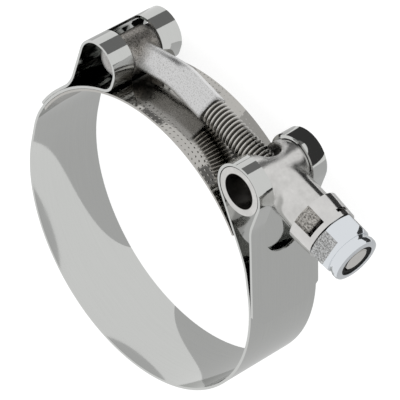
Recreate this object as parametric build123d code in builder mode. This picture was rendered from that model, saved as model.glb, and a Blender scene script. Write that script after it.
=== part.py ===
"""Heavy-duty hose clamp with a T-headed bolt, in millimetres.

The clamp lies on one rim of its band. The origin is the centre of the round
opening at half the band's width, +Z is the axis of the opening, +X points along
the bolt from its T-head to the nut, and +Y points from the opening to the bolt.
"""
from build123d import *
from math import acos, atan, cos, degrees, hypot, radians, sin, sqrt
import os

os.makedirs("parts", exist_ok=True)

# Band: one strip of stainless steel, folded into a loop at each end
bore_diameter = 70.5
band_width = 19.05
strip_thickness = 0.6
layer_gap = 0.05
rise_bend_radius = 20.0
tab_corner_cut = 3.5

# Trunnion loop of the band, and the tab that returns from it to the ring
trunnion_x = 20.0
bolt_standoff = 4.75
pivot_clearance = 0.2
trunnion_slot_width = 11.3
trunnion_slot_foot = 17.6
leg_slot_foot = 3.8
tab_touch_angle = 21.0
tab_end_angle = 14.0
tab_bend_radius = 8.0

# Head loop of the band, and its tab
head_loop_x = -24.3
head_loop_bore_radius = 5.0
head_wall_height = 1.5
head_corner_radius = 4.0
head_back_bend_radius = 12.0
head_slot_width = 8.0
head_slot_foot = -0.7
head_slot_back = 4.3
head_tab_end_angle = 170.5

# Bridge: the inner strip that spans the gap under the bolt
bridge_free_angle = 51.0
bridge_fixed_angle = 166.0
bridge_cover_angle = 3.0

# T-bolt
thread_diameter = 6.0
thread_start_x = 0.6
bolt_end_chamfer = 0.2
bolt_end_recess = 0.25
shank_width = 6.1
shank_corner_radius = 1.5
shank_bend_x = -10.0
shank_bend_radius = 14.0
head_diameter = 7.6
head_length = 13.0
head_end_chamfer = 0.45
head_seat_clearance = 0.1
head_seat_angle = 10.0
hub_diameter = 8.8
hub_side_clearance = 0.2
neck_fillet = 1.2

# Trunnion: cross bar and guide barrel in one piece
cross_bar_diameter = 11.1
cross_bar_bore = 8.0
cross_bar_inset = 0.05
bolt_window_width = 6.4
bolt_window_end = -0.4
barrel_diameter = 10.3
barrel_fillet = 1.1
barrel_nose_diameter = 11.5
barrel_nose_length = 4.0
barrel_nose_chamfer = 0.3
barrel_end_x = 36.6
bolt_running_clearance = 0.08

# Collar: a cap with two windows, between the barrel's nose and the nut
collar_wall = 0.52
collar_narrowing = 0.3
collar_clearance = 0.03
collar_grip = 3.8
collar_gap = 1.0
collar_ring_thickness = 1.15
window_count = 2
window_half_angle = 21.0
window_turn = 51.0
slit_half_angle = 22.0
slit_turn = 151.5
slit_width = 0.8

# Prevailing-torque nut with its nylon ring
nut_clearance = 0.05
nut_across_flats = 11.0
nut_hex_length = 5.05
nut_crown_length = 2.6
nut_corner_turn = 38.5
nut_chamfer = 0.45
crown_chamfer = 1.4
crown_chamfer_cut = 0.95
nylon_diameter = 9.6
crown_wall = 0.7
crown_neck_depth = 0.3
crown_neck_length = 0.5
crown_neck_rise = 0.7
crown_rim_rounding = 0.55
crown_rim_facet = 0.17
crown_mouth_diameter = 8.0
crown_lip = 0.35
nylon_length = 1.9
nylon_clearance = 0.03
nylon_bolt_clearance = 0.05

# Sizes that follow from the ones above
bore_radius = bore_diameter / 2
half_width = band_width / 2
layer_step = strip_thickness + layer_gap
ring_radius = bore_radius + strip_thickness / 2
raised_radius = ring_radius + layer_step
bolt_y = bore_radius + bolt_standoff
thread_radius = thread_diameter / 2
cross_bar_radius = cross_bar_diameter / 2
barrel_radius = barrel_diameter / 2
nose_radius = barrel_nose_diameter / 2
collar_radius = nose_radius + collar_clearance + collar_wall
collar_start_x = barrel_end_x - collar_grip
slit_start_x = barrel_end_x + collar_gap - slit_width
collar_ring_x = barrel_end_x + collar_gap
collar_end_x = collar_ring_x + collar_ring_thickness
nose_start_x = barrel_end_x - barrel_nose_length
nut_start_x = collar_end_x + nut_clearance
hex_end_x = nut_start_x + nut_hex_length
nut_end_x = hex_end_x + nut_crown_length
bolt_end_x = nut_end_x - bolt_end_recess


def polar(centre, radius, angle):
    """Point at an angle in degrees on a circle."""
    return (centre[0] + radius * cos(radians(angle)), centre[1] + radius * sin(radians(angle)))


centre = (0.0, 0.0)
pivot = (trunnion_x, bolt_y)
pivot_distance = hypot(*pivot)
pivot_angle = degrees(acos(pivot[0] / pivot_distance))

# The band climbs over the bridge by a short straight and a tighter arc
rise_angle = degrees(acos((ring_radius - rise_bend_radius) / (raised_radius - rise_bend_radius)))
rise_centre_radius = raised_radius - rise_bend_radius

# Trunnion loop: the main leg leaves the ring on the line that crosses to the pivot loop
loop_radius = cross_bar_radius + pivot_clearance + strip_thickness / 2
leg_turn = degrees(acos((raised_radius + loop_radius) / pivot_distance))
leave_angle = pivot_angle - leg_turn
leg_foot = polar(centre, raised_radius, leave_angle)
leg_top = polar(pivot, loop_radius, leave_angle + 180)

# Tab: straight down from the loop, one bend, then tangent to the ring's outer face
tab_radius = ring_radius + layer_step
tab_touch = polar(centre, tab_radius, tab_touch_angle)
tab_x = pivot[0] + loop_radius
tab_bend_y = (tab_radius - tab_x * cos(radians(tab_touch_angle))) / sin(radians(tab_touch_angle))

# Head loop: an upright U whose front corner and back foot are tangent to the ring
head_loop_radius = head_loop_bore_radius + strip_thickness / 2
front_x = head_loop_x + head_loop_radius
back_x = head_loop_x - head_loop_radius
corner_x = front_x - head_corner_radius
corner_y = sqrt((raised_radius + head_corner_radius) ** 2 - corner_x ** 2)
corner_angle = 180 - degrees(acos(-corner_x / (raised_radius + head_corner_radius)))
head_loop = (head_loop_x, corner_y + head_wall_height)
head_tab_radius = raised_radius + layer_step
back_foot_x = back_x - head_back_bend_radius
back_foot_reach = head_tab_radius + head_back_bend_radius
back_foot_y = sqrt(back_foot_reach ** 2 - back_foot_x ** 2)
back_foot_angle = 180 - degrees(acos(-back_foot_x / back_foot_reach))
raised_end_angle = bridge_fixed_angle + bridge_cover_angle
base_start_angle = raised_end_angle + rise_angle
base_end_angle = 360 + leave_angle - rise_angle

# T-head centre, seated against the front of its loop
head_radius = head_diameter / 2
hub_radius = hub_diameter / 2
hub_length = head_slot_width - 2 * hub_side_clearance
head_offset = head_loop_bore_radius - head_radius - head_seat_clearance
head_centre = polar(head_loop, head_offset, head_seat_angle)

# The collar's skin narrows from its open end to its ring
collar_taper = degrees(atan(collar_narrowing / (collar_end_x - collar_start_x)))

# Band
with BuildPart() as band:
    with BuildSketch():
        with BuildLine() as strip_line:
            CenterArc(centre, head_tab_radius, head_tab_end_angle, back_foot_angle - head_tab_end_angle)
            CenterArc((back_foot_x, back_foot_y), head_back_bend_radius,
                      back_foot_angle - 180, 180 - back_foot_angle)
            Line((back_x, back_foot_y), (back_x, head_loop[1]))
            CenterArc(head_loop, head_loop_radius, 180, -180)
            Line((front_x, head_loop[1]), (front_x, corner_y))
            CenterArc((corner_x, corner_y), head_corner_radius, 0, corner_angle - 180)
            CenterArc(centre, raised_radius, corner_angle, raised_end_angle - corner_angle)
            CenterArc(polar(centre, rise_centre_radius, raised_end_angle), rise_bend_radius,
                      raised_end_angle, rise_angle)
            Line(polar(polar(centre, rise_centre_radius, raised_end_angle), rise_bend_radius,
                       base_start_angle),
                 polar(centre, ring_radius, base_start_angle))
            CenterArc(centre, ring_radius, base_start_angle, base_end_angle - base_start_angle)
            Line(polar(centre, ring_radius, base_end_angle),
                 polar(polar(centre, rise_centre_radius, leave_angle), rise_bend_radius,
                       base_end_angle))
            CenterArc(polar(centre, rise_centre_radius, leave_angle), rise_bend_radius,
                      base_end_angle, rise_angle)
            Line(leg_foot, leg_top)
            CenterArc(pivot, loop_radius, leave_angle + 180, -leave_angle - 180)
            FilletPolyline((tab_x, pivot[1]), (tab_x, tab_bend_y), tab_touch, radius=tab_bend_radius)
            CenterArc(centre, tab_radius, tab_touch_angle, tab_end_angle - tab_touch_angle)
        trace(strip_line.line, strip_thickness)
    extrude(amount=half_width, both=True)
    tab_corners = band.edges().filter_by(lambda e: abs(e.length - strip_thickness) < layer_gap)
    chamfer(tab_corners, tab_corner_cut)

    # Slot in the tab, rounded at its foot, that lets the barrel swing
    tab_plane = Plane(
        origin=(*polar(pivot, cross_bar_radius / 3, tab_touch_angle), 0),
        x_dir=(sin(radians(tab_touch_angle)), -cos(radians(tab_touch_angle)), 0),
        z_dir=(cos(radians(tab_touch_angle)), sin(radians(tab_touch_angle)), 0),
    )
    with BuildSketch(tab_plane):
        foot = trunnion_slot_foot - trunnion_slot_width / 2
        with Locations((foot, 0)):
            Circle(trunnion_slot_width / 2)
            Rectangle(foot + 2 * loop_radius, trunnion_slot_width, align=(Align.MAX, Align.CENTER))
    extrude(amount=2 * loop_radius, mode=Mode.SUBTRACT)

    # The same slot over the top of the loop and down into the main leg
    with BuildSketch(Plane.XY.offset(-trunnion_slot_width / 2)):
        with Locations((pivot[0], pivot[1] + cross_bar_radius / 3)):
            Rectangle(4 * loop_radius, 2 * loop_radius, align=(Align.CENTER, Align.MIN))
    extrude(amount=trunnion_slot_width, mode=Mode.SUBTRACT)
    leg_plane = Plane(
        origin=(*pivot, 0),
        x_dir=(sin(radians(leave_angle)), -cos(radians(leave_angle)), 0),
        z_dir=(-cos(radians(leave_angle)), -sin(radians(leave_angle)), 0),
    )
    with BuildSketch(leg_plane):
        foot = leg_slot_foot - trunnion_slot_width / 2
        with Locations((foot, 0)):
            Circle(trunnion_slot_width / 2)
            Rectangle(2 * loop_radius, trunnion_slot_width, align=(Align.MAX, Align.CENTER))
    extrude(amount=2 * loop_radius, mode=Mode.SUBTRACT)

    # Slot up the front of the head loop and over its top, for the shank
    with BuildSketch(Plane.YZ.offset(head_loop_x - head_slot_back)):
        with Locations((head_loop[1] + head_slot_foot, 0)):
            Circle(head_slot_width / 2)
            Rectangle(2 * head_loop_radius, head_slot_width, align=(Align.MIN, Align.CENTER))
    extrude(amount=head_slot_back + 2 * head_loop_radius, mode=Mode.SUBTRACT)
band.part.label = "band"

# Bridge
with BuildPart() as bridge:
    with BuildSketch():
        with BuildLine() as bridge_line:
            CenterArc(centre, ring_radius, bridge_free_angle, bridge_fixed_angle - bridge_free_angle)
        trace(bridge_line.line, strip_thickness)
    extrude(amount=half_width, both=True)
bridge.part.label = "bridge"

# T-bolt: forged head and shank, and the threaded end as a plain rod of its outside diameter
with BuildPart() as t_bolt:
    with BuildSketch(Plane.XY.offset(-head_length / 2)):
        with Locations(head_centre):
            Circle(head_radius)
    extrude(amount=head_length)
    chamfer(t_bolt.edges().filter_by(GeomType.CIRCLE), head_end_chamfer)
    with BuildSketch(Plane.XY.offset(-hub_length / 2)):
        with Locations(head_centre):
            Circle(hub_radius)
    extrude(amount=hub_length)
    with BuildLine() as shank_line:
        FilletPolyline((*head_centre, 0), (shank_bend_x, bolt_y, 0), (thread_start_x, bolt_y, 0),
                       radius=shank_bend_radius)
    shank_plane = Plane(origin=shank_line.line @ 0, z_dir=shank_line.line % 0, x_dir=(0, 0, 1))
    with BuildSketch(shank_plane):
        RectangleRounded(shank_width, shank_width, shank_corner_radius, rotation=45)
    sweep(path=shank_line.line)
    # The forged neck blends into the hub where the shank's skin meets the hub's round
    neck = t_bolt.edges().filter_by(
        lambda e: e.geom_type in (GeomType.ELLIPSE, GeomType.BSPLINE)
        and (e @ 0.5 - Vector(*head_centre, (e @ 0.5).Z)).length < hub_radius + head_end_chamfer)
    fillet(neck, neck_fillet)
    with BuildSketch(Plane.YZ.offset(thread_start_x)):
        with Locations((bolt_y, 0)):
            Circle(thread_radius)
    extrude(amount=bolt_end_x - thread_start_x)
    chamfer(t_bolt.edges().filter_by(GeomType.CIRCLE).sort_by(Axis.X)[-1], bolt_end_chamfer)
t_bolt.part.label = "t_bolt"

# Trunnion
with BuildPart() as trunnion:
    with BuildSketch(Plane.XY.offset(cross_bar_inset - half_width)):
        with Locations(pivot):
            Circle(cross_bar_radius)
    extrude(amount=band_width - 2 * cross_bar_inset)
    with BuildSketch(Plane.YZ.offset(trunnion_x)):
        with Locations((bolt_y, 0)):
            Circle(barrel_radius)
    extrude(amount=nose_start_x - trunnion_x)
    fillet(trunnion.edges().filter_by(GeomType.BSPLINE), barrel_fillet)
    with BuildSketch(Plane.YZ.offset(nose_start_x)):
        with Locations((bolt_y, 0)):
            Circle(nose_radius)
    extrude(amount=barrel_nose_length)
    chamfer(trunnion.edges().filter_by(GeomType.CIRCLE).sort_by(Axis.X)[-1], barrel_nose_chamfer)
    with BuildSketch(Plane.XY.offset(-half_width)):
        with Locations(pivot):
            Circle(cross_bar_bore / 2)
    extrude(amount=band_width, mode=Mode.SUBTRACT)
    with BuildSketch(Plane.YZ.offset(trunnion_x)):
        with Locations((bolt_y, 0)):
            Circle(thread_radius + bolt_running_clearance)
    extrude(amount=barrel_end_x, mode=Mode.SUBTRACT)
    # The cross bar's wall is open round the bolt on the side of the T-head
    with BuildSketch(Plane.XZ.offset(-bolt_y)):
        with Locations((trunnion_x + bolt_window_end - bolt_window_width / 2, 0)):
            Circle(bolt_window_width / 2)
            Rectangle(cross_bar_diameter, bolt_window_width, align=(Align.MAX, Align.CENTER))
    extrude(amount=cross_bar_diameter, both=True, mode=Mode.SUBTRACT)
trunnion.part.label = "trunnion"

# Collar
with BuildPart() as end_collar:
    with BuildSketch(Plane.YZ.offset(collar_start_x)):
        with Locations((bolt_y, 0)):
            Circle(collar_radius)
    extrude(amount=collar_end_x - collar_start_x, taper=collar_taper)
    with BuildSketch(Plane.YZ.offset(collar_start_x)):
        with Locations((bolt_y, 0)):
            Circle(nose_radius + collar_clearance)
    extrude(amount=collar_ring_x - collar_start_x, mode=Mode.SUBTRACT)
    with BuildSketch(Plane.YZ.offset(collar_start_x)):
        with Locations((bolt_y, 0)):
            Circle(thread_radius + bolt_running_clearance)
    extrude(amount=collar_end_x - collar_start_x, mode=Mode.SUBTRACT)
    with BuildSketch(Plane.YZ.offset(collar_start_x)):
        with Locations((bolt_y, 0)):
            with PolarLocations(0, window_count, start_angle=window_turn):
                Polygon(centre, polar(centre, 2 * collar_radius, -window_half_angle),
                        polar(centre, 2 * collar_radius, window_half_angle), align=None)
    extrude(amount=collar_ring_x - collar_start_x, mode=Mode.SUBTRACT)
    # A slit beside each window's prong frees its root from the ring
    with BuildSketch(Plane.YZ.offset(slit_start_x)):
        with Locations((bolt_y, 0)):
            with PolarLocations(0, window_count, start_angle=slit_turn):
                Polygon(centre, polar(centre, 2 * collar_radius, -slit_half_angle),
                        polar(centre, 2 * collar_radius, slit_half_angle), align=None)
    extrude(amount=slit_width, mode=Mode.SUBTRACT)
end_collar.part.label = "end_collar"

# Nut
corner_radius = nut_across_flats / 2 / cos(radians(30))
bolt_axis = Axis((0, bolt_y, 0), (1, 0, 0))
nylon_end_x = nut_end_x - crown_lip
nylon_start_x = nylon_end_x - nylon_length
crown_radius = nylon_diameter / 2 + crown_wall
crown_neck_radius = crown_radius - crown_neck_depth
neck_end_x = hex_end_x + crown_neck_length

with BuildPart() as lock_nut:
    with BuildSketch(Plane.YZ.offset(nut_start_x)):
        with Locations((bolt_y, 0)):
            RegularPolygon(corner_radius, 6, rotation=nut_corner_turn)
    extrude(amount=nut_hex_length)
    with BuildSketch():
        with BuildLine():
            Polyline((nut_start_x, bolt_y), (nut_start_x, bolt_y + corner_radius - 2 * nut_chamfer),
                     (nut_start_x + nut_chamfer, bolt_y + corner_radius),
                     (hex_end_x - crown_chamfer, bolt_y + corner_radius),
                     (hex_end_x, bolt_y + corner_radius - crown_chamfer_cut),
                     (hex_end_x, bolt_y), close=True)
        make_face()
    revolve(axis=bolt_axis, mode=Mode.INTERSECT)
    with BuildSketch():
        with BuildLine():
            rim_y = bolt_y + crown_radius
            neck_y = bolt_y + crown_neck_radius
            Polyline((hex_end_x, bolt_y), (hex_end_x, neck_y), (neck_end_x, neck_y),
                     (neck_end_x + crown_neck_rise, rim_y), (nut_end_x - crown_rim_rounding, rim_y),
                     (nut_end_x - crown_rim_facet, rim_y - crown_rim_facet),
                     (nut_end_x, rim_y - crown_rim_rounding), (nut_end_x, bolt_y), close=True)
        make_face()
    revolve(axis=bolt_axis)
    with BuildSketch(Plane.YZ.offset(nut_start_x)):
        with Locations((bolt_y, 0)):
            Circle(thread_radius + bolt_running_clearance)
    extrude(amount=nut_end_x - nut_start_x, mode=Mode.SUBTRACT)
    with BuildSketch(Plane.YZ.offset(nylon_start_x)):
        with Locations((bolt_y, 0)):
            Circle(nylon_diameter / 2)
    extrude(amount=nylon_length, mode=Mode.SUBTRACT)
    with BuildSketch(Plane.YZ.offset(nylon_end_x)):
        with Locations((bolt_y, 0)):
            Circle(crown_mouth_diameter / 2)
    extrude(amount=crown_lip, mode=Mode.SUBTRACT)
lock_nut.part.label = "lock_nut"

# Nylon ring, held in the nut's crown
with BuildPart() as nylon_ring:
    with BuildSketch(Plane.YZ.offset(nylon_start_x + nylon_clearance)):
        with Locations((bolt_y, 0)):
            Circle(nylon_diameter / 2 - nylon_clearance)
            Circle(thread_radius + nylon_bolt_clearance, mode=Mode.SUBTRACT)
    extrude(amount=nylon_length - 2 * nylon_clearance)
nylon_ring.part.label = "nylon_ring"

for piece in (band, bridge, t_bolt, trunnion, end_collar, lock_nut, nylon_ring):
    export_step(piece.part, "parts/" + piece.part.label + ".step")
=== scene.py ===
from math import acos, atan2, ceil, cos, degrees, hypot, pi, radians, sin, sqrt
import bpy
from mathutils import Matrix, Vector


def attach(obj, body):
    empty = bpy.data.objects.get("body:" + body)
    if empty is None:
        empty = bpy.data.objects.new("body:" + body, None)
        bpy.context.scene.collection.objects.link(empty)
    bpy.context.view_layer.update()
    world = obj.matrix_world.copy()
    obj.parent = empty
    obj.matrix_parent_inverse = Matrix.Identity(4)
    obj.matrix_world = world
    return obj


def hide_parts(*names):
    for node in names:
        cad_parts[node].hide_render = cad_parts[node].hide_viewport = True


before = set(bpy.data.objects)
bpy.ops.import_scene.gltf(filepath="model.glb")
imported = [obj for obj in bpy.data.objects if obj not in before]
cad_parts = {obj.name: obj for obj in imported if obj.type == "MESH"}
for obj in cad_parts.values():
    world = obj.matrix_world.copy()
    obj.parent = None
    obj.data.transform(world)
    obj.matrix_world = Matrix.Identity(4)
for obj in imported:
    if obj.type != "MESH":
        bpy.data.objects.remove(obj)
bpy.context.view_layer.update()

# Band: one strip of bright-rolled half-hard stainless steel. Both ends are folded back on
# themselves into a loop, spot-welded to the ring, and slotted by a press for the T-bolt.
mm = 0.001
bore_radius = 35.25 * mm
band_width = 19.05 * mm
strip_thickness = 0.6 * mm
layer_step = 0.65 * mm
rise_bend_radius = 20.0 * mm
tab_corner_cut = 3.5 * mm
strip_edge_rounding = 0.09 * mm
half_width = band_width / 2
bolt_y = 40.0 * mm
pivot = Vector((20.0 * mm, bolt_y, 0))
cross_bar_radius = 5.55 * mm
loop_radius = cross_bar_radius + 0.2 * mm + strip_thickness / 2
trunnion_slot_width = 11.3 * mm
trunnion_slot_foot = 17.6 * mm
leg_slot_foot = 3.8 * mm
tab_touch_angle = 21.0
tab_end_angle = 14.0
tab_bend_radius = 8.0 * mm
head_loop_x = -24.3 * mm
head_loop_radius = 5.0 * mm + strip_thickness / 2
head_wall_height = 1.5 * mm
head_corner_radius = 4.0 * mm
head_back_bend_radius = 12.0 * mm
head_slot_width = 8.2 * mm
head_slot_foot = -1.05 * mm
head_slot_back = 4.3 * mm
slot_top_rise = cross_bar_radius / 3
head_tab_end_angle = 170.5
bridge_end_angle = 169.0
ring_centre = Vector((0, 0, 0))
ring_radius = bore_radius + strip_thickness / 2
raised_radius = ring_radius + layer_step


def polar(centre, radius, angle):
    """A point on a circle that lies across the opening, its angle in degrees."""
    return Vector((centre[0] + radius * cos(radians(angle)), centre[1] + radius * sin(radians(angle)), 0))


def cut_strip(name, start):
    """A strip as it comes off the coil: a plane stood on edge, of which one upright edge is kept."""
    bpy.ops.object.select_all(action='DESELECT')
    bpy.ops.mesh.primitive_plane_add(size=band_width, rotation=(pi / 2, 0, 0),
                                     location=(start[0] - half_width, start[1], 0))
    strip = bpy.context.object
    strip.name = name
    bpy.ops.object.transform_apply(location=True, rotation=True, scale=True)
    bpy.ops.object.mode_set(mode='EDIT')
    choose(strip, 'VERT', lambda vert: vert.co.x < start[0] - half_width)
    bpy.ops.mesh.delete(type='VERT')
    bpy.ops.mesh.select_all(action='SELECT')
    return strip


def choose(piece, kind, wanted):
    """Selects the vertices, edges or faces of the piece in edit mode that pass a test."""
    bpy.ops.mesh.select_mode(type=kind)
    bpy.ops.mesh.select_all(action='DESELECT')
    bpy.ops.object.mode_set(mode='OBJECT')
    for part in {'VERT': piece.data.vertices, 'EDGE': piece.data.edges, 'FACE': piece.data.polygons}[kind]:
        part.select = wanted(part)
    bpy.ops.object.mode_set(mode='EDIT')


def roll(centre, angle, step=2.5):
    """Bends the strip's free end round a centre, anticlockwise seen from above when positive."""
    bpy.ops.mesh.spin(steps=max(2, ceil(abs(angle) / step)), angle=-radians(angle),
                      center=centre, axis=(0, 0, 1))


def feed(start, end):
    """Draws the strip's free end straight out."""
    bpy.ops.mesh.extrude_region_move(TRANSFORM_OT_translate={"value": Vector(end) - Vector(start)})


def clip_tab(strip, end, outward):
    """Cuts the two corners of a tab's end by a slanting stroke of the shears."""
    for side in (-1, 1):
        choose(strip, 'FACE', lambda face: (Vector(face.center).xy - end.xy).length < 2 * tab_corner_cut
               and abs(face.center.xy.length - end.xy.length) < layer_step / 3)
        stroke = Vector((outward[0], outward[1], side))
        bpy.ops.mesh.bisect(plane_co=end + Vector((0, 0, side * (half_width - tab_corner_cut))),
                            plane_no=stroke, clear_outer=True, clear_inner=False)


def finish(piece, *modifiers):
    """Adds modifiers given as (kind, settings) and applies each in turn."""
    bpy.ops.object.select_all(action='DESELECT')
    bpy.context.view_layer.objects.active = piece
    piece.select_set(True)
    for kind, settings in modifiers:
        modifier = piece.modifiers.new(kind.lower(), kind)
        for setting, value in settings.items():
            setattr(modifier, setting, value)
        bpy.ops.object.modifier_apply(modifier=modifier.name)
    return piece


def punch(piece, width, foot, along, through, length, depth):
    """Presses a round-footed slot through the piece, drawn out from its foot along a direction."""
    bpy.ops.object.select_all(action='DESELECT')
    bpy.ops.mesh.primitive_circle_add(vertices=64, radius=width / 2, fill_type='NGON')
    tool = bpy.context.object
    bpy.ops.object.mode_set(mode='EDIT')
    choose(tool, 'VERT', lambda vert: vert.co.x > width / 1000)
    bpy.ops.transform.translate(value=(length, 0, 0))
    bpy.ops.mesh.select_mode(type='FACE')
    bpy.ops.mesh.select_all(action='SELECT')
    bpy.ops.transform.translate(value=(0, 0, -depth / 2))
    bpy.ops.mesh.extrude_region_move(TRANSFORM_OT_translate={"value": (0, 0, depth)})
    bpy.ops.mesh.select_all(action='SELECT')
    bpy.ops.mesh.normals_make_consistent(inside=False)
    bpy.ops.object.mode_set(mode='OBJECT')
    along, through = Vector(along).normalized(), Vector(through).normalized()
    turn = Matrix((along, through.cross(along), through)).transposed().to_4x4()
    tool.matrix_world = Matrix.Translation(foot) @ turn
    bpy.ops.object.transform_apply(location=True, rotation=True, scale=True)
    finish(piece, ('BOOLEAN', {"object": tool, "operation": 'DIFFERENCE', "solver": 'EXACT'}))
    bpy.data.objects.remove(tool)


def shade_round(piece):
    """Shades what is round as round and keeps flats flat."""
    bpy.ops.object.shade_smooth_by_angle(angle=radians(24))
    finish(piece, ('WEIGHTED_NORMAL', {"mode": 'FACE_AREA', "weight": 100, "keep_sharp": True}))


def smooth_off(piece, rounding, segments=2, limit=35.0):
    """Breaks the piece's sharp edges and shades what is round as round."""
    finish(piece, ('BEVEL', {"width": rounding, "segments": segments, "limit_method": 'ANGLE',
                             "angle_limit": radians(limit), "use_clamp_overlap": True}))
    shade_round(piece)


rise_centre_radius = raised_radius - rise_bend_radius
rise_angle = degrees(acos((ring_radius - rise_bend_radius) / rise_centre_radius))
pivot_distance = hypot(pivot.x, pivot.y)
pivot_angle = degrees(atan2(pivot.y, pivot.x))
leave_angle = pivot_angle - degrees(acos((raised_radius + loop_radius) / pivot_distance))
leg_foot = polar(ring_centre, raised_radius, leave_angle)
leg_top = polar(pivot, loop_radius, leave_angle + 180)
tab_radius = raised_radius
tab_touch = polar(ring_centre, tab_radius, tab_touch_angle)
tab_x = pivot.x + loop_radius
front_x = head_loop_x + head_loop_radius
back_x = head_loop_x - head_loop_radius
corner_x = front_x - head_corner_radius
corner_y = sqrt((raised_radius + head_corner_radius) ** 2 - corner_x ** 2)
corner_angle = 180 - degrees(acos(-corner_x / (raised_radius + head_corner_radius)))
head_loop = Vector((head_loop_x, corner_y + head_wall_height, 0))
head_tab_radius = raised_radius + layer_step
back_foot = Vector((back_x - head_back_bend_radius, 0, 0))
back_foot_reach = head_tab_radius + head_back_bend_radius
back_foot.y = sqrt(back_foot_reach ** 2 - back_foot.x ** 2)
back_foot_angle = 180 - degrees(acos(-back_foot.x / back_foot_reach))
base_start_angle = bridge_end_angle + rise_angle
base_end_angle = 360 + leave_angle - rise_angle
rise_centre = polar(ring_centre, rise_centre_radius, bridge_end_angle)
leg_rise_centre = polar(ring_centre, rise_centre_radius, leave_angle)

head_tab_end = polar(ring_centre, head_tab_radius, head_tab_end_angle)
band = cut_strip("band_strip", head_tab_end)
roll(ring_centre, back_foot_angle - head_tab_end_angle)
roll(back_foot, 180 - back_foot_angle)
feed((back_x, back_foot.y, 0), (back_x, head_loop.y, 0))
roll(head_loop, -180, 5)
feed((front_x, head_loop.y, 0), (front_x, corner_y, 0))
roll((corner_x, corner_y, 0), corner_angle - 180, 4)
roll(ring_centre, bridge_end_angle - corner_angle)
roll(rise_centre, rise_angle)
feed(polar(rise_centre, rise_bend_radius, base_start_angle),
     polar(ring_centre, ring_radius, base_start_angle))
roll(ring_centre, base_end_angle - base_start_angle)
feed(polar(ring_centre, ring_radius, base_end_angle),
     polar(leg_rise_centre, rise_bend_radius, base_end_angle))
roll(leg_rise_centre, rise_angle)
feed(leg_foot, leg_top)
roll(pivot, -leave_angle - 180, 5)
tab_bend_y = (tab_radius - tab_x * cos(radians(tab_touch_angle))) / sin(radians(tab_touch_angle))
tab_bend_reach = tab_bend_radius * (1 - cos(radians(tab_touch_angle))) / sin(radians(tab_touch_angle))
tab_bend_top = Vector((tab_x, tab_bend_y + tab_bend_reach, 0))
feed((tab_x, pivot.y, 0), tab_bend_top)
tab_bend_centre = tab_bend_top + Vector((tab_bend_radius, 0, 0))
roll(tab_bend_centre, tab_touch_angle)
feed(polar(tab_bend_centre, tab_bend_radius, 180 + tab_touch_angle), tab_touch)
tab_end = polar(ring_centre, tab_radius, tab_end_angle)
feed(tab_touch, tab_end)
clip_tab(band, head_tab_end, polar(ring_centre, 1, head_tab_end_angle + 90))
clip_tab(band, tab_end, polar(ring_centre, 1, tab_end_angle - 90))
bpy.ops.mesh.select_all(action='SELECT')
bpy.ops.mesh.remove_doubles(threshold=strip_thickness / 500)
bpy.ops.object.mode_set(mode='OBJECT')
finish(band, ('SOLIDIFY', {"thickness": strip_thickness, "offset": 0, "use_even_offset": True}))

tab_down = Vector((sin(radians(tab_touch_angle)), -cos(radians(tab_touch_angle)), 0))
tab_face = polar(ring_centre, 1, tab_touch_angle)
punch(band, trunnion_slot_width,
      polar(pivot, slot_top_rise, tab_touch_angle)
      + tab_down * (trunnion_slot_foot - trunnion_slot_width / 2) + tab_face * loop_radius,
      -tab_down, tab_face, trunnion_slot_foot + loop_radius, 2 * loop_radius)
punch(band, trunnion_slot_width, pivot + Vector((0, slot_top_rise + trunnion_slot_width / 2, 0)),
      (0, 1, 0), (1, 0, 0), 4 * loop_radius, 4 * loop_radius)
leg_down = Vector((sin(radians(leave_angle)), -cos(radians(leave_angle)), 0))
leg_face = -polar(ring_centre, 1, leave_angle)
punch(band, trunnion_slot_width,
      pivot + leg_down * (leg_slot_foot - trunnion_slot_width / 2) + leg_face * loop_radius,
      -leg_down, leg_face, 2 * loop_radius, 2 * loop_radius)

# The T-head's slot is 0.2 mm wider and its foot 0.45 mm lower than in the solid band, so that this
# slot alone clears the bolt's hub when the bolt swivels. The solids themselves still touch there.
punch(band, head_slot_width,
      Vector((head_loop_x - head_slot_back + 2 * head_loop_radius, head_loop.y + head_slot_foot, 0)),
      (0, 1, 0), (1, 0, 0), 2 * head_loop_radius, 4 * head_loop_radius)
smooth_off(band, strip_edge_rounding)


def srgb(shade):
    """A colour written as six hex digits, as the linear values that a shader takes."""
    parts = [int(shade[i:i + 2], 16) / 255 for i in (0, 2, 4)]
    return [p / 12.92 if p <= 0.04045 else ((p + 0.055) / 1.055) ** 2.4 for p in parts] + [1.0]


def add_node(tree, kind, sockets=None, stops=(), **settings):
    """Adds a node; sockets maps an input's name or number to a value or to another node's output.
    A colour scale takes its stops as (place, hex colour) pairs in order."""
    node = tree.nodes.new(kind)
    for place, shade in stops[2:]:
        node.color_ramp.elements.new(place)
    for element, (place, shade) in zip(node.color_ramp.elements if stops else (), stops):
        element.position, element.color = place, srgb(shade)
    for setting, value in settings.items():
        setattr(node, setting, value)
    for socket, value in (sockets or {}).items():
        if isinstance(value, bpy.types.NodeSocket):
            tree.links.new(value, node.inputs[socket])
        else:
            node.inputs[socket].default_value = value
    return node


def start_metal(name):
    """A bare metal: its material, node tree and shader, and the place of each point on the piece."""
    material = bpy.data.materials.new(name)
    material.use_nodes = True
    tree = material.node_tree
    shader = tree.nodes["Principled BSDF"]
    shader.inputs["Metallic"].default_value = 1.0
    return material, tree, shader, add_node(tree, 'ShaderNodeTexCoord').outputs["Object"]


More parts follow.
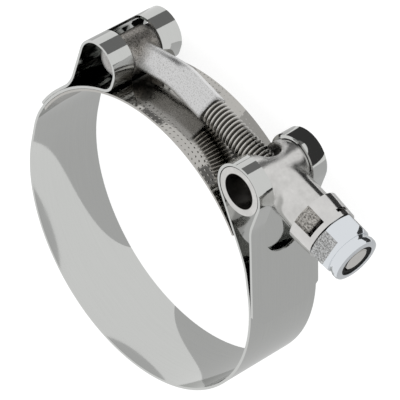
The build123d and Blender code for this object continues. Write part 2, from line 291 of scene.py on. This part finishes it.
def rolled_stainless(name, shade, roughness):
    """Bright-rolled stainless strip: a clear mirror drawn out into faint lines along the strip.
    The rolls leave lines about 0.12 mm apart, drawn three times as coarse so that they show."""
    material, tree, shader, place = start_metal(name)
    line_spacing = 0.36 * mm
    stretched = add_node(tree, 'ShaderNodeMapping', {"Vector": place, "Scale": (0.03, 0.03, 1.0)}).outputs[0]
    lines = add_node(tree, 'ShaderNodeTexNoise', {"Vector": stretched, "Scale": 1 / line_spacing,
                                                  "Detail": 3.0, "Roughness": 0.6}).outputs["Fac"]
    cloud_size = 4.0 * mm
    clouds = add_node(tree, 'ShaderNodeTexNoise', {"Vector": place, "Scale": 1 / cloud_size,
                                                   "Detail": 4.0}).outputs["Fac"]
    wear = add_node(tree, 'ShaderNodeMapRange', {0: clouds, 1: 0.3, 2: 0.75, 3: roughness * 0.75,
                                                 4: roughness * 1.35}).outputs[0]
    tree.links.new(wear, shader.inputs["Roughness"])
    tint = add_node(tree, 'ShaderNodeMapRange', {0: lines, 1: 0.3, 2: 0.7, 3: 0.97, 4: 1.0}).outputs[0]
    colour = add_node(tree, 'ShaderNodeMix', {0: 1.0, 6: srgb(shade), 7: tint}, data_type='RGBA',
                      blend_type='MULTIPLY').outputs[2]
    tree.links.new(colour, shader.inputs["Base Color"])
    relief = add_node(tree, 'ShaderNodeBump', {"Height": lines, "Strength": 0.06, "Distance": 0.01 * mm})
    tree.links.new(relief.outputs[0], shader.inputs["Normal"])
    return material, tree, shader, place


def dress(piece, material):
    """Gives the whole piece one material."""
    piece.data.materials.clear()
    piece.data.materials.append(material)


dress(band, rolled_stainless("bright rolled stainless strip", "c5c6c4", 0.06)[0])
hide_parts("band")
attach(band, "clamp_band")

# Bridge: a plain strip of the same steel that closes the gap in the ring under the bolt.
# It is rolled to the hose's curve and spot-welded to the band at the T-head's end.
bridge_free_angle = 51.0
bridge_fixed_angle = 166.0
bridge = cut_strip("bridge_strip", polar(ring_centre, ring_radius, bridge_free_angle))
roll(ring_centre, bridge_fixed_angle - bridge_free_angle, 1.5)
bpy.ops.object.mode_set(mode='OBJECT')
finish(bridge, ('SOLIDIFY', {"thickness": strip_thickness, "offset": 0}))
smooth_off(bridge, strip_edge_rounding)
# The bridge's steel is given a darker, warmer shade than the band's: painted shade for the dark under the
# bolt.
bridge_steel, tree, shader, place = rolled_stainless("bridge stainless strip", "b4b2ae", 0.08)

# Two staggered rows of pips are pressed up along each edge, and glint as small bright dots.
pip_pitch_angle = 1.9
pip_start_angle = 77.5
pip_row_middle = 8.05 * mm
pip_row_spacing = 1.1 * mm
pip_off_centre = 0.56 * mm
pip_radius = 0.3 * mm
pip_height = 0.055 * mm
split = add_node(tree, 'ShaderNodeSeparateXYZ', {0: place})
sideways = add_node(tree, 'ShaderNodeMath', {0: split.outputs["Z"], 1: pip_off_centre},
                    operation='ADD').outputs[0]
from_middle = add_node(tree, 'ShaderNodeMath', {0: sideways}, operation='ABSOLUTE').outputs[0]
across = add_node(tree, 'ShaderNodeMath', {0: from_middle, 1: pip_row_middle},
                  operation='SUBTRACT').outputs[0]
outer_row = add_node(tree, 'ShaderNodeMath', {0: across, 1: 0.0}, operation='GREATER_THAN').outputs[0]
across = add_node(tree, 'ShaderNodeMath', {0: across, 1: pip_row_spacing}, operation='PINGPONG').outputs[0]
across = add_node(tree, 'ShaderNodeMath', {0: across, 1: pip_row_spacing / 2},
                  operation='SUBTRACT').outputs[0]
around = add_node(tree, 'ShaderNodeMath', {0: split.outputs["Y"], 1: split.outputs["X"]},
                  operation='ARCTAN2').outputs[0]
around = add_node(tree, 'ShaderNodeMath', {0: around, 1: radians(pip_start_angle)},
                  operation='SUBTRACT').outputs[0]
around = add_node(tree, 'ShaderNodeMath', {0: around, 1: 1 / radians(pip_pitch_angle)},
                  operation='MULTIPLY').outputs[0]
stagger = add_node(tree, 'ShaderNodeMapRange', {0: outer_row, 1: 0.0, 2: 1.0, 3: 0.5, 4: 1.0}).outputs[0]
around = add_node(tree, 'ShaderNodeMath', {0: around, 1: stagger}, operation='ADD').outputs[0]
around = add_node(tree, 'ShaderNodeMath', {0: around}, operation='FRACT').outputs[0]
around = add_node(tree, 'ShaderNodeMath', {0: around, 1: 0.5}, operation='SUBTRACT').outputs[0]
around = add_node(tree, 'ShaderNodeMath', {0: around, 1: radians(pip_pitch_angle) * raised_radius},
                  operation='MULTIPLY').outputs[0]
offset = add_node(tree, 'ShaderNodeCombineXYZ', {0: around, 1: across}).outputs[0]
away = add_node(tree, 'ShaderNodeVectorMath', {0: offset}, operation='LENGTH').outputs["Value"]
in_rows = add_node(tree, 'ShaderNodeMath', {0: from_middle, 1: pip_row_middle - pip_row_spacing},
                   operation='GREATER_THAN').outputs[0]
pips = add_node(tree, 'ShaderNodeMapRange', {0: away, 1: pip_radius, 2: 0.0, 3: 0.0, 4: 1.0},
                interpolation_type='SMOOTHSTEP').outputs[0]
pips = add_node(tree, 'ShaderNodeMath', {0: pips, 1: in_rows}, operation='MULTIPLY').outputs[0]
relief = add_node(tree, 'ShaderNodeBump', {"Height": pips, "Strength": 1.0, "Distance": pip_height,
                                           "Normal": shader.inputs["Normal"].links[0].from_socket})
tree.links.new(relief.outputs[0], shader.inputs["Normal"])
dress(bridge, bridge_steel)
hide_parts("bridge")
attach(bridge, "clamp_band")

# T-bolt: an upset-forged head and a rounded square shank, bent up to the bolt's line, with an
# M6 thread rolled on the other end. Forged steel with a grainy, bright plated skin.
bolt_line = Vector((0, bolt_y, 0))
thread_radius = 3.0 * mm
thread_pitch = 1.0 * mm
thread_depth = 0.6 * mm
thread_crest = 0.16 * mm
thread_root = 0.16 * mm
thread_crown = 0.02 * mm
blank_spare = 0.1 * mm
thread_start_x = 0.6 * mm
bolt_end_x = 46.2 * mm
bolt_end_chamfer = 0.2 * mm


def merged_copy(node, name):
    """A copy of a CAD node with its loose triangles joined, to work on as one skin."""
    bpy.ops.object.select_all(action='DESELECT')
    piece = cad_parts[node].copy()
    piece.data = piece.data.copy()
    piece.name = name
    for note in list(piece.keys()):
        del piece[note]
    piece.parent = None
    bpy.context.scene.collection.objects.link(piece)
    bpy.context.view_layer.objects.active = piece
    piece.select_set(True)
    bpy.ops.object.mode_set(mode='EDIT')
    bpy.ops.mesh.select_all(action='SELECT')
    bpy.ops.mesh.remove_doubles(threshold=0.0005 * mm)
    bpy.ops.object.mode_set(mode='OBJECT')
    bpy.ops.mesh.customdata_custom_splitnormals_clear()
    return piece


def draw_outline(name, points):
    """Draws a turned part's outline by drawing one point out from place to place."""
    bpy.ops.object.select_all(action='DESELECT')
    bpy.ops.mesh.primitive_plane_add(size=mm)
    piece = bpy.context.object
    piece.name = name
    bpy.ops.object.mode_set(mode='EDIT')
    choose(piece, 'VERT', lambda vert: vert.index > 0)
    bpy.ops.mesh.delete(type='VERT')
    bpy.ops.mesh.select_all(action='SELECT')
    corner = Vector((-mm / 2, -mm / 2, 0))
    bpy.ops.transform.translate(value=Vector(points[0]).to_3d() - corner)
    for start, end in zip(points, points[1:]):
        bpy.ops.mesh.extrude_vertices_move(TRANSFORM_OT_translate={
            "value": Vector(end).to_3d() - Vector(start).to_3d()})
    return piece


forging = merged_copy("t_bolt", "t_bolt_forging")
bpy.ops.object.mode_set(mode='EDIT')
bpy.ops.mesh.select_all(action='SELECT')
bpy.ops.mesh.bisect(plane_co=(thread_start_x, 0, 0), plane_no=(1, 0, 0), clear_outer=True, use_fill=True)
bpy.ops.object.mode_set(mode='OBJECT')
shade_round(forging)

turns = ceil((bolt_end_x - thread_start_x) / thread_pitch) + 2
flank = (thread_pitch - thread_crest - thread_root) / 2
crest_y, root_y = thread_radius, thread_radius - thread_depth
start_x = thread_start_x - 1.5 * thread_pitch
thread = draw_outline("bolt_thread", [
    (start_x, crest_y - thread_crown), (start_x + thread_crest / 2, crest_y),
    (start_x + thread_crest, crest_y - thread_crown),
    (start_x + thread_crest + flank, root_y + thread_crown),
    (start_x + thread_crest + flank + thread_root / 2, root_y),
    (start_x + thread_crest + flank + thread_root, root_y + thread_crown),
    (start_x + thread_pitch, crest_y - thread_crown)])
bpy.ops.object.mode_set(mode='OBJECT')
finish(thread, ('SCREW', {"axis": 'X', "steps": 40, "render_steps": 40, "iterations": turns,
                          "screw_offset": thread_pitch, "use_merge_vertices": False}))
bpy.ops.object.mode_set(mode='EDIT')
bpy.ops.mesh.select_all(action='SELECT')
bpy.ops.mesh.remove_doubles(threshold=0.002 * mm)
bpy.ops.mesh.fill_holes(sides=0)
bpy.ops.mesh.normals_make_consistent(inside=False)
bpy.ops.transform.translate(value=bolt_line)
bpy.ops.object.mode_set(mode='OBJECT')


def spin_round(piece, centre, axis, segments=96):
    """Turns a drawn outline full circle and closes the skin."""
    bpy.ops.mesh.select_all(action='SELECT')
    bpy.ops.mesh.spin(steps=segments, angle=2 * pi, center=centre, axis=axis)
    bpy.ops.mesh.select_all(action='SELECT')
    bpy.ops.mesh.remove_doubles(threshold=0.001 * mm)
    bpy.ops.mesh.normals_make_consistent(inside=False)
    bpy.ops.object.mode_set(mode='OBJECT')


blank = draw_outline("thread_blank", [
    (thread_start_x, bolt_y), (thread_start_x, bolt_y + thread_radius - 0.45 * mm),
    (thread_start_x + 0.8 * mm, bolt_y + thread_radius + blank_spare),
    (bolt_end_x - bolt_end_chamfer, bolt_y + thread_radius + blank_spare),
    (bolt_end_x, bolt_y + thread_radius - bolt_end_chamfer - blank_spare), (bolt_end_x, bolt_y)])
spin_round(blank, bolt_line, (1, 0, 0))
finish(thread, ('BOOLEAN', {"object": blank, "operation": 'INTERSECT', "solver": 'EXACT'}))
bpy.data.objects.remove(blank)
bpy.ops.object.shade_smooth_by_angle(angle=radians(24))


def forged_steel(name, head_centre):
    """Forged steel under thin bright plating. The dies leave its edges soft, its pebbled skin holds
    a little dirt in the hollows, and a brown-grey scale stays round the head's hub."""
    material, tree, shader, place = start_metal(name)
    grain = 0.27 * mm
    scale_edge = 5.2 * mm
    clean_edge = 8.5 * mm
    pebbles = add_node(tree, 'ShaderNodeTexNoise', {"Vector": place, "Scale": 1 / grain, "Detail": 4.0,
                                                    "Roughness": 0.65}).outputs["Fac"]
    bright = add_node(tree, 'ShaderNodeValToRGB', {0: pebbles},
                      [(0.32, "a2a1a0"), (0.5, "cdcdcd")]).outputs[0]
    scale = add_node(tree, 'ShaderNodeValToRGB', {0: pebbles},
                     [(0.35, "4a4743"), (0.62, "aaa6a0")]).outputs[0]
    reach = add_node(tree, 'ShaderNodeVectorMath', {0: place, 1: head_centre},
                     operation='DISTANCE').outputs["Value"]
    clean = add_node(tree, 'ShaderNodeMapRange', {0: reach, 1: scale_edge, 2: clean_edge, 3: 0.0,
                                                  4: 1.0}).outputs[0]
    colour = add_node(tree, 'ShaderNodeMix', {0: clean, 6: scale, 7: bright}, data_type='RGBA').outputs[2]
    tree.links.new(colour, shader.inputs["Base Color"])
    wear = add_node(tree, 'ShaderNodeMapRange', {0: clean, 1: 0.0, 2: 1.0, 3: 0.4, 4: 0.24}).outputs[0]
    tree.links.new(wear, shader.inputs["Roughness"])
    soft_edges = add_node(tree, 'ShaderNodeBevel', {"Radius": 1.6 * mm}, samples=6).outputs[0]
    bump = add_node(tree, 'ShaderNodeBump', {"Height": pebbles, "Strength": 0.4, "Distance": 0.025 * mm,
                                             "Normal": soft_edges})
    tree.links.new(bump.outputs[0], shader.inputs["Normal"])
    return material


def rolled_thread(name):
    """A rolled thread: the rolls burnish its crests bright, and its colour darkens into the roots as painted
    shade.
    """
    material, tree, shader, place = start_metal(name)
    from_line = add_node(tree, 'ShaderNodeMapping', {"Vector": place, "Location": (0, -bolt_y, 0),
                                                     "Scale": (0, 1, 1)}).outputs[0]
    height = add_node(tree, 'ShaderNodeVectorMath', {0: from_line}, operation='LENGTH').outputs["Value"]
    height = add_node(tree, 'ShaderNodeMapRange', {0: height, 1: thread_radius - thread_depth,
                                                   2: thread_radius, 3: 0.0, 4: 1.0}).outputs[0]
    on_end = add_node(tree, 'ShaderNodeSeparateXYZ', {0: place}).outputs["X"]
    on_end = add_node(tree, 'ShaderNodeMath', {0: on_end, 1: bolt_end_x - 0.01 * mm},
                      operation='GREATER_THAN').outputs[0]
    height = add_node(tree, 'ShaderNodeMath', {0: height, 1: on_end}, operation='MAXIMUM').outputs[0]
    # The colour darkens from crest to root with the height on the thread: painted shade in the roots.
    colour = add_node(tree, 'ShaderNodeValToRGB', {0: height}, [
        (0.0, "4e4c49"), (0.25, "62605c"), (0.5, "a3a19d"), (0.8, "d2d0cc")]).outputs[0]
    tree.links.new(colour, shader.inputs["Base Color"])
    shader.inputs["Roughness"].default_value = 0.2
    return material


head_pull_angle = 10
head_pull = 1.1 * mm
head_centre = head_loop + head_pull * Vector((cos(radians(head_pull_angle)),
                                              sin(radians(head_pull_angle)), 0))
dress(forging, forged_steel("plated steel forging", head_centre))
dress(thread, rolled_thread("rolled bolt thread"))
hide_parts("t_bolt")
for piece in (forging, thread):
    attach(piece, "bolt")

# Trunnion: a hollow cross bar that turns in the band's loop, with the guide barrel for the
# bolt drawn out of its side. Drawn steel tube with a clean polished and plated skin.
trunnion = merged_copy("trunnion", "trunnion_tube")
shade_round(trunnion)
barrel_nose_x = 32.6 * mm
cross_bar_bore_radius = 4.0 * mm
past_the_part = 1.0
joint_side = 5.5 * mm
joint_side_fade = 1.0 * mm
joint_end_x = 26.0 * mm
joint_end_fade = 3.0 * mm
joint_softness = 2.4 * mm


def polished_tube(name, shade, roughness, rough_from):
    """Drawn tube, polished and plated: an even satin mirror whose joints run softly into each other.
    The cross bar's bore stays dull, with a darker colour there as painted shade, and beyond a place on the
    bolt's line the tube keeps the mottled grey skin it was formed with."""
    material, tree, shader, place = start_metal(name)
    grain = 0.35 * mm
    cloud_size = 2.5 * mm
    pebbles = add_node(tree, 'ShaderNodeTexNoise', {"Vector": place, "Scale": 1 / grain, "Detail": 4.0,
                                                    "Roughness": 0.65}).outputs["Fac"]
    clouds = add_node(tree, 'ShaderNodeTexNoise', {"Vector": place, "Scale": 1 / cloud_size, "Detail": 4.0,
                                                   "Roughness": 0.65}).outputs["Fac"]
    polished = add_node(tree, 'ShaderNodeValToRGB', {0: clouds}, [(0.35, shade), (0.7, "d2d1cf")]).outputs[0]
    mottled = add_node(tree, 'ShaderNodeValToRGB', {0: pebbles},
                       [(0.35, "45433f"), (0.62, "bab7b2")]).outputs[0]
    split = add_node(tree, 'ShaderNodeSeparateXYZ', {0: place})
    rough = add_node(tree, 'ShaderNodeMath', {0: split.outputs["X"], 1: rough_from},
                     operation='GREATER_THAN').outputs[0]
    colour = add_node(tree, 'ShaderNodeMix', {0: rough, 6: polished, 7: mottled}, data_type='RGBA').outputs[2]
    from_pivot = add_node(tree, 'ShaderNodeMapping', {"Vector": place, "Location": -pivot,
                                                      "Scale": (1, 1, 0)}).outputs[0]
    from_pivot = add_node(tree, 'ShaderNodeVectorMath', {0: from_pivot}, operation='LENGTH').outputs["Value"]
    in_bore = add_node(tree, 'ShaderNodeMath', {0: from_pivot, 1: cross_bar_bore_radius + 0.1 * mm},
                       operation='LESS_THAN').outputs[0]
    # Inside the cross bar's bore the colour is darker: painted shade.
    colour = add_node(tree, 'ShaderNodeMix', {0: in_bore, 6: colour, 7: srgb("6a6865")},
                      data_type='RGBA').outputs[2]
    tree.links.new(colour, shader.inputs["Base Color"])
    wear = add_node(tree, 'ShaderNodeMath', {0: rough, 1: in_bore}, operation='MAXIMUM').outputs[0]
    wear = add_node(tree, 'ShaderNodeMapRange', {0: wear, 1: 0.0, 2: 1.0, 3: roughness, 4: 0.32}).outputs[0]
    tree.links.new(wear, shader.inputs["Roughness"])
    sideways = add_node(tree, 'ShaderNodeMath', {0: split.outputs["Z"]}, operation='ABSOLUTE').outputs[0]
    between = add_node(tree, 'ShaderNodeMapRange', {0: sideways, 1: joint_side,
                                                    2: joint_side + joint_side_fade,
                                                    3: 1.0, 4: 0.0}).outputs[0]
    near = add_node(tree, 'ShaderNodeMapRange', {0: split.outputs["X"], 1: joint_end_x,
                                                 2: joint_end_x + joint_end_fade, 3: 1.0, 4: 0.0}).outputs[0]
    joint = add_node(tree, 'ShaderNodeMath', {0: between, 1: near}, operation='MULTIPLY').outputs[0]
    soft = add_node(tree, 'ShaderNodeBevel', {"Radius": joint_softness}, samples=6).outputs[0]
    plain = add_node(tree, 'ShaderNodeNewGeometry').outputs["Normal"]
    normal = add_node(tree, 'ShaderNodeMix', {0: joint, 4: plain, 5: soft}, data_type='VECTOR').outputs[1]
    bump = add_node(tree, 'ShaderNodeBump', {"Height": clouds, "Strength": 0.08, "Distance": 0.02 * mm,
                                             "Normal": normal})
    tree.links.new(bump.outputs[0], shader.inputs["Normal"])
    return material


dress(trunnion, polished_tube("polished plated tube", "c2c1bf", 0.16, barrel_nose_x))
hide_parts("trunnion")
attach(trunnion, "swivel")

# Collar: a pressed cap with two windows and two slits, which grips the barrel's nose and
# carries the nut. Plated steel, polished like the barrel.
collar = merged_copy("end_collar", "collar_cap")
shade_round(collar)
dress(collar, polished_tube("polished plated cap", "c8c7c6", 0.13, past_the_part))
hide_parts("end_collar")
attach(collar, "swivel")

# Nut: a prevailing-torque hexagon nut, cold-formed and zinc plated, with a rounded crown that
# is rolled over its nylon ring.
nut = merged_copy("lock_nut", "lock_nut_body")
shade_round(nut)
nut_hex_end_x = 43.85 * mm
nut_corner_angle = 38.5


def zinc_plating(name):
    """Bright zinc plating: bluish white and glossy, with soft rolled edges. Every second flat,
    counted from a corner, is rougher and a darker mottled grey, which is painted shade."""
    material, tree, shader, place = start_metal(name)
    grain = 0.3 * mm
    pebbles = add_node(tree, 'ShaderNodeTexNoise', {"Vector": place, "Scale": 1 / grain, "Detail": 4.0,
                                                    "Roughness": 0.65}).outputs["Fac"]
    # The darker mottled colour is painted shade for the flats it goes on.
    dull = add_node(tree, 'ShaderNodeValToRGB', {0: pebbles}, [(0.36, "6c6c6b"), (0.62, "c8c9c9")]).outputs[0]
    split = add_node(tree, 'ShaderNodeSeparateXYZ', {0: place})
    rise = add_node(tree, 'ShaderNodeMath', {0: split.outputs["Y"], 1: bolt_y},
                    operation='SUBTRACT').outputs[0]
    turn = add_node(tree, 'ShaderNodeMath', {0: split.outputs["Z"], 1: rise}, operation='ARCTAN2').outputs[0]
    turn = add_node(tree, 'ShaderNodeMath', {0: turn, 1: radians(nut_corner_angle)},
                    operation='SUBTRACT').outputs[0]
    turn = add_node(tree, 'ShaderNodeMath', {0: turn, 1: radians(120)}, operation='FLOORED_MODULO').outputs[0]
    # Every second hex flat, counted from a corner, takes the darker colour: painted shade.
    painted_shade_flats = add_node(tree, 'ShaderNodeMath', {0: turn, 1: radians(60)}, operation='LESS_THAN').outputs[0]
    on_hex = add_node(tree, 'ShaderNodeMath', {0: split.outputs["X"], 1: nut_hex_end_x - 1.0 * mm},
                      operation='LESS_THAN').outputs[0]
    painted_shade_flats = add_node(tree, 'ShaderNodeMath', {0: painted_shade_flats, 1: on_hex}, operation='MULTIPLY').outputs[0]
    colour = add_node(tree, 'ShaderNodeMix', {0: painted_shade_flats, 6: srgb("d6dade"), 7: dull},
                      data_type='RGBA').outputs[2]
    tree.links.new(colour, shader.inputs["Base Color"])
    wear = add_node(tree, 'ShaderNodeMapRange', {0: painted_shade_flats, 1: 0.0, 2: 1.0, 3: 0.1, 4: 0.36}).outputs[0]
    tree.links.new(wear, shader.inputs["Roughness"])
    soft_edges = add_node(tree, 'ShaderNodeBevel', {"Radius": 0.15 * mm}, samples=8).outputs[0]
    tree.links.new(soft_edges, shader.inputs["Normal"])
    return material


dress(nut, zinc_plating("bright zinc plating"))
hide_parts("lock_nut")
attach(nut, "nut")

# Nylon ring: the black locking insert in the nut's crown, moulded nylon pressed on by the
# bolt's thread, with a matt skin.
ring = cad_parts["nylon_ring"]


def moulded_nylon(name, shade):
    """Moulded nylon: a soft dark plastic with a faint satin skin and fine scuffs."""
    material = bpy.data.materials.new(name)
    material.use_nodes = True
    tree = material.node_tree
    shader = tree.nodes["Principled BSDF"]
    place = add_node(tree, 'ShaderNodeTexCoord').outputs["Object"]
    scuffs = add_node(tree, 'ShaderNodeTexNoise', {"Vector": place, "Scale": 1 / (0.4 * mm), "Detail": 4.0})
    colour = add_node(tree, 'ShaderNodeValToRGB', {0: scuffs.outputs["Fac"]}, [(0.3, "050505"), (0.7, shade)])
    tree.links.new(colour.outputs[0], shader.inputs["Base Color"])
    shader.inputs["Roughness"].default_value = 0.65
    shader.inputs["IOR"].default_value = 1.53
    shader.inputs["Specular IOR Level"].default_value = 0.2
    return material


dress(ring, moulded_nylon("black moulded nylon", "0e0e0e"))

# Studio: a white table that keeps a faint shadow, under an even white sky that the metal shows
# too, with a few grey cards round the clamp to give the metal its contrast, and black cards under
# the T-head's loop and the cross bar that are a painted shadow.
table_z = -half_width
table_glow = 0.87
card_depth = 0.2 * mm
bpy.ops.object.select_all(action='DESELECT')
bpy.ops.mesh.primitive_plane_add(size=2.0, location=(0, 0, table_z))
table = bpy.context.object
table.name = "table"
table.visible_glossy = False
material = bpy.data.materials.new("white table")
material.use_nodes = True
tree = material.node_tree
shader = tree.nodes["Principled BSDF"]
shader.inputs["Base Color"].default_value = srgb("8c8c8c")
shader.inputs["Roughness"].default_value = 1.0
shader.inputs["Specular IOR Level"].default_value = 0.0
rays = add_node(tree, 'ShaderNodeLightPath')
shader.inputs["Emission Color"].default_value = srgb("ffffff")
seen = add_node(tree, 'ShaderNodeMath', {0: rays.outputs["Is Camera Ray"],
                                         1: rays.outputs["Is Transmission Ray"]},
                operation='MAXIMUM').outputs[0]
glow = add_node(tree, 'ShaderNodeMath', {0: seen, 1: table_glow}, operation='MULTIPLY').outputs[0]
tree.links.new(glow, shader.inputs["Emission Strength"])
table.data.materials.append(material)

# Cards that only the metal sees: black ones under the loop of the T-head and the cross bar, a
# painted shadow for the table's shade there, grey ones standing behind the loops, and a dark strip
# and two pale sheets lying just under the table.
# Each is (name, shade, middle, width, height, whether it stands).
card_z = table_z - card_depth
sheet_z = table_z - 2 * card_depth
for name, shade, middle, width, height, stands in (
        ("loop_painted_shadow_card", "050505", (head_loop_x, head_loop.y - 1.8 * mm, card_z), 8.0 * mm, 11.3 * mm, False),
        ("tube_painted_shadow_card", "050505", (pivot.x, pivot.y, card_z), 5.8 * mm, 5.8 * mm, False),
        ("trunnion_card", "808080", (14.0 * mm, 54.0 * mm, -5.0 * mm), 9.3 * mm, 22.0 * mm, True),
        ("head_card", "808080", (-31.0 * mm, 54.0 * mm, -9.0 * mm), 23.0 * mm, 30.0 * mm, True),
        ("front_strip", "404040", (29.0 * mm, 48.0 * mm, card_z), 42.0 * mm, 6.0 * mm, False),
        ("left_sheet", "d0d0d0", (-82.0 * mm, -57.0 * mm, sheet_z), 136.0 * mm, 186.0 * mm, False),
        ("right_sheet", "d0d0d0", (76.0 * mm, -53.0 * mm, sheet_z), 148.0 * mm, 194.0 * mm, False)):
    bpy.ops.object.select_all(action='DESELECT')
    bpy.ops.mesh.primitive_plane_add(size=1.0)
    card = bpy.context.object
    card.name = name
    bpy.ops.transform.resize(value=(width, height, 1))
    bpy.ops.object.transform_apply(location=True, rotation=True, scale=True)
    card.matrix_world = Matrix.Translation(middle) @ Matrix.Rotation(pi / 2 if stands else 0, 4, 'X')
    bpy.ops.object.transform_apply(location=True, rotation=True, scale=True)
    for ray in ("camera", "diffuse", "transmission", "shadow", "volume_scatter"):
        setattr(card, "visible_" + ray, False)
    material = bpy.data.materials.new(name + " flock")
    material.use_nodes = True
    flock = material.node_tree.nodes["Principled BSDF"]
    flock.inputs["Base Color"].default_value = srgb("050505")
    flock.inputs["Roughness"].default_value = 1.0
    flock.inputs["Specular IOR Level"].default_value = 0.0
    flock.inputs["Emission Color"].default_value = srgb(shade)
    flock.inputs["Emission Strength"].default_value = 1.0
    card.data.materials.append(material)

world = bpy.data.worlds.new("studio")
bpy.context.scene.world = world
world.use_nodes = True
tree = world.node_tree
background = tree.nodes["Background"]
background.inputs["Color"].default_value = srgb("ffffff")
background.inputs["Strength"].default_value = 1.0

# Camera: a long lens looking down on the nut's side of the clamp, rolled as in the photograph.
camera = bpy.data.objects.new("camera", bpy.data.cameras.new("camera"))
bpy.context.scene.collection.objects.link(camera)
camera.data.sensor_width = 36.0
camera.data.lens = 290.75
looking = Vector((-0.35631, -0.76590, -0.53522)).normalized()
upright = Vector((-0.68070, 0.60516, -0.41283)).normalized()
camera.matrix_world = (Matrix.Translation((0.251196, 0.542645, 0.369193))
                       @ Matrix((looking.cross(upright), upright, -looking)).transposed().to_4x4())
bpy.context.scene.camera = camera
bpy.context.scene.view_settings.view_transform = 'Standard'
